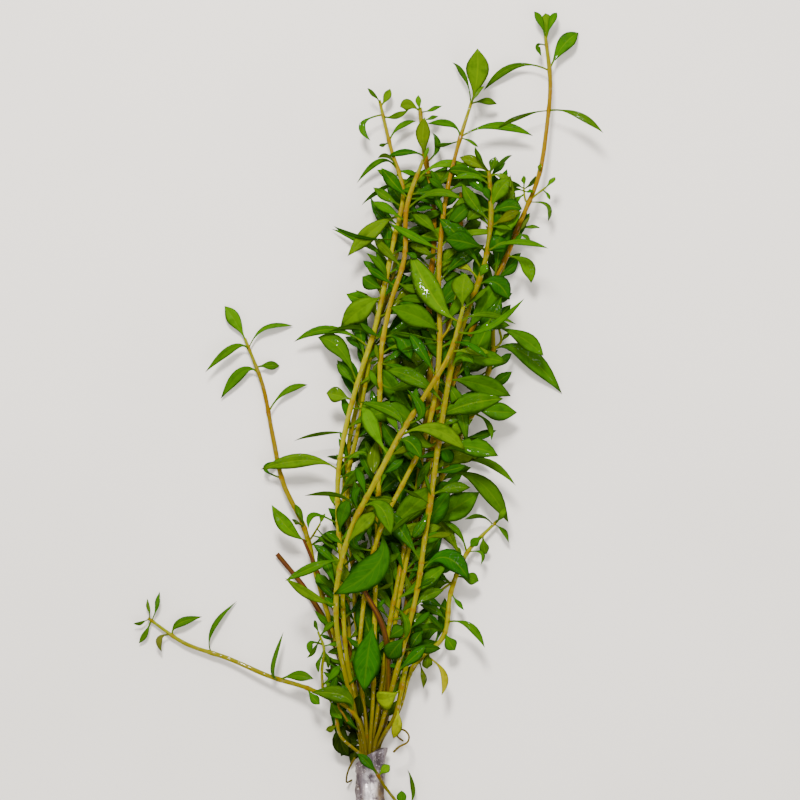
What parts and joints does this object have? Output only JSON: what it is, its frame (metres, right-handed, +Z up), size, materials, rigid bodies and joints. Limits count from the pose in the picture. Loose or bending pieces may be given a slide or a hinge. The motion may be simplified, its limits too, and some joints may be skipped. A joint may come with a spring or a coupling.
{
  "type": "cut water plant bunch",
  "caption": "Cut bunch of needle leaf ludwigia lying down, leafy stems held at the foot by a rolled strip of lead",
  "frame": {"origin": "Middle of the flat underside of the lead strip, on the surface that the bunch lies on", "axes": "+X across the bunch, to the right in the picture; +Y from the strip towards the tips; +Z up, away from the surface"},
  "size_m": [0.1507, 0.2616, 0.03],
  "materials": {
    "green": "wet leaves and yellow-green stems",
    "deep_green": "wet darker leaves and tan stems",
    "tan": "wet tan stem",
    "dead": "dull dark brown stem",
    "root": "brown-red wiry root",
    "lead": "soft crinkled lead, dull silver"
  },
  "bodies": {
    "root": {"lead_strip": "lead", "tall_right_shoot": "green", "low_right_shoot": "deep_green", "tall_middle_shoot": "green", "crown_shoot": "deep_green", "middle_shoot": "green", "tall_left_shoot": "deep_green", "left_inner_shoot": "deep_green", "left_under_shoot": "deep_green", "slanting_shoot": "green", "bright_shoot": "green", "tan_stem": "tan", "right_corner_shoot": "green", "right_base_shoot": "green", "left_shoot": "deep_green", "long_left_shoot": "green", "brown_stem": "dead", "dead_stem": "dead", "thin_dead_stem": "dead", "dark_stem": "dead", "shoot_over_strip": "green", "right_roots": "root", "left_root": "root", "neck_roots": "root", "low_root": "root"}
  },
  "joints": []
}
